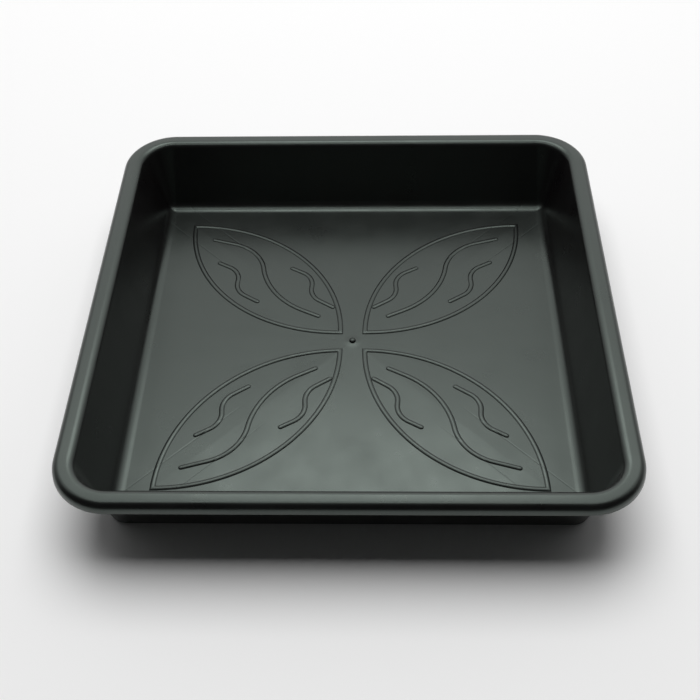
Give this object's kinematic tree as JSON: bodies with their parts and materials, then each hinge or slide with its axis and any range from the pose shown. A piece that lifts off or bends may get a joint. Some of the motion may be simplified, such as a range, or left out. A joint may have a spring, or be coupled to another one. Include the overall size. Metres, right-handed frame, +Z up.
{
  "type": "square plant saucer",
  "caption": "Shallow square plant saucer with sloping walls, a rolled rim with a turned-down skirt and a raised leaf relief on its floor.",
  "frame": {"origin": "on the ground below the middle of the saucer", "axes": "+Z up out of the basin, +X and +Y square to the sides"},
  "size_m": [0.3998, 0.3998, 0.0633],
  "materials": {
    "polypropylene": "satin moulded black polypropylene"
  },
  "bodies": {
    "root": {"saucer": "polypropylene"}
  },
  "joints": []
}
